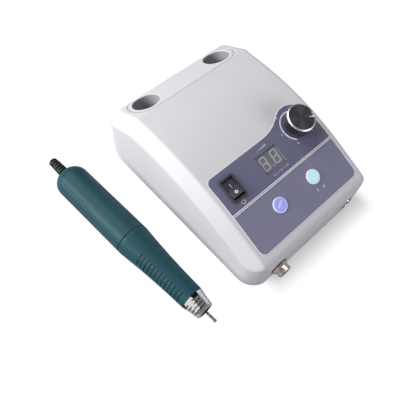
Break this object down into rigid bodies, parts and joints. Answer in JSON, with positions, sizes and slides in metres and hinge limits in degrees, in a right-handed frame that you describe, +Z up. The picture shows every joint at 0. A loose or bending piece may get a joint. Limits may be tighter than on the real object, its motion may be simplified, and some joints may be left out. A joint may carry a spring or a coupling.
{
  "type": "dental micromotor set",
  "caption": "Desk control unit with sloping panel, speed knob, display, rocker switch and handpiece wells, and a tapered motor handpiece lying beside it.",
  "frame": {"origin": "middle of the set's footprint on the bench top", "axes": "+Z up, +Y from the control panel's front edge to the rear wall, +X to the right of a user facing the panel"},
  "size_m": [0.213, 0.2238, 0.0853],
  "materials": {
    "housing_abs": "moulded, fine satin texture",
    "sheet_steel": "zinc plated sheet",
    "black_rubber": "moulded",
    "zinc_steel": "plated",
    "border_print": "printed",
    "navy_foil": "printed polyester foil, satin",
    "smoked_lens": "clear, slightly smoked",
    "display_grey": "moulded",
    "segment_white": "diffusing resin",
    "board_green": "solder mask",
    "button_blue": "translucent",
    "button_cyan": "translucent",
    "ring_clear": "translucent",
    "black_plastic": "moulded",
    "anodised_black": "black anodised, turned",
    "zinc_casting": "plated casting",
    "nickel_plate": "plated brass",
    "gold_contact": "plated",
    "core_steel": "laminated",
    "copper_wire": "enamelled",
    "plain_aluminium": "extruded",
    "magnet_grey": "sintered",
    "carbon": "pressed",
    "fuse_glass": "clear",
    "hand_green": "soft-touch satin",
    "cam_brass": "turned"
  },
  "bodies": {
    "control_unit": {"top_cover": "housing_abs", "base_plate": "sheet_steel", "rubber_feet": "black_rubber", "housing_screws": "zinc_steel", "cradle_plate": "housing_abs", "cradle_cups": "housing_abs", "panel_frame": "border_print", "front_film": "navy_foil", "rear_film": "navy_foil", "divider_strip": "border_print", "display_window": "smoked_lens", "display_module": "display_grey", "display_segments": "segment_white", "display_board": "board_green", "key_board": "board_green", "button_rings": "ring_clear", "tact_switches": "black_plastic", "rocker_frame": "black_plastic", "potentiometer": "zinc_casting", "pot_nut": "zinc_casting", "socket_shell": "nickel_plate", "socket_gasket": "black_rubber", "socket_insert": "black_plastic", "socket_pins": "gold_contact", "socket_nut": "nickel_plate", "pedal_jack": "black_plastic", "jack_nut": "nickel_plate", "mains_inlet": "black_plastic", "inlet_pins": "zinc_steel", "fuse_holder": "black_plastic", "fuse_link": "fuse_glass", "transformer_core": "core_steel", "transformer_coil": "copper_wire", "supply_board": "board_green", "heat_sink": "plain_aluminium", "capacitors": "plain_aluminium"},
    "rocker": {"power_rocker": "black_plastic"},
    "speed_dial": {"speed_knob": "anodised_black", "pot_shaft": "zinc_steel"},
    "direction_key": {"direction_button": "button_blue"},
    "mode_key": {"mode_button": "button_cyan"},
    "fuse_drawer": {"fuse_cap": "black_plastic"},
    "handpiece": {"rear_shell": "hand_green", "strain_relief": "black_rubber", "motor_yoke": "zinc_steel", "magnets": "magnet_grey", "end_bell": "plain_aluminium", "brushes": "carbon", "rear_bearing": "zinc_steel", "spindle_housing": "plain_aluminium", "front_bearings": "zinc_steel", "nose_cone": "nickel_plate"},
    "grip": {"grip_sleeve": "hand_green"},
    "release": {"cam_ring": "cam_brass"},
    "spindle": {"spindle": "zinc_steel", "collet": "zinc_steel", "mandrel": "zinc_steel", "rotor": "core_steel", "commutator": "gold_contact"}
  },
  "joints": [
    {"name": "rocker_tilt", "type": "hinge", "parent": "control_unit", "child": "rocker", "pos_m": [-0.01128, -0.04101, 0.06622], "axis": [1, 0, 0], "range_deg": [0, 24]},
    {"name": "dial_turn", "type": "hinge", "parent": "control_unit", "child": "speed_dial", "pos_m": [0.07307, -0.03181, 0.06857], "axis": [0, -0.2502, 0.9682], "range_deg": [-30, 270]},
    {"name": "direction_press", "type": "slide", "parent": "control_unit", "child": "direction_key", "axis": [0, 0.3987, -0.9171], "range_m": [0, 0.0005], "stiffness_N_per_m": 3000},
    {"name": "mode_press", "type": "slide", "parent": "control_unit", "child": "mode_key", "axis": [0, 0.3987, -0.9171], "range_m": [0, 0.0005], "stiffness_N_per_m": 3000},
    {"name": "fuse_turn", "type": "hinge", "parent": "control_unit", "child": "fuse_drawer", "pos_m": [0.04552, 0.10875, 0.013], "axis": [0, 1, 0], "range_deg": [0, 90]},
    {"name": "handpiece_lift", "type": "slide", "parent": "control_unit", "child": "handpiece", "axis": [0, 0, 1], "range_m": [0, 0.25]},
    {"name": "grip_twist", "type": "hinge", "parent": "handpiece", "child": "grip", "pos_m": [-0.09118, 0.07675, 0.0154], "axis": [0.0548, -0.9985, 0], "range_deg": [0, 45]},
    {"name": "release_slide", "type": "slide", "parent": "handpiece", "child": "release", "axis": [0.0548, -0.9985, 0], "range_m": [0, 0.0012]},
    {"name": "spindle_spin", "type": "hinge", "parent": "handpiece", "child": "spindle", "pos_m": [-0.09118, 0.07675, 0.0154], "axis": [0.0548, -0.9985, 0], "continuous": true}
  ],
  "couplings": [
    {"joint": "grip_twist", "follows": "release_slide", "rad_per_m": 654.4}
  ]
}
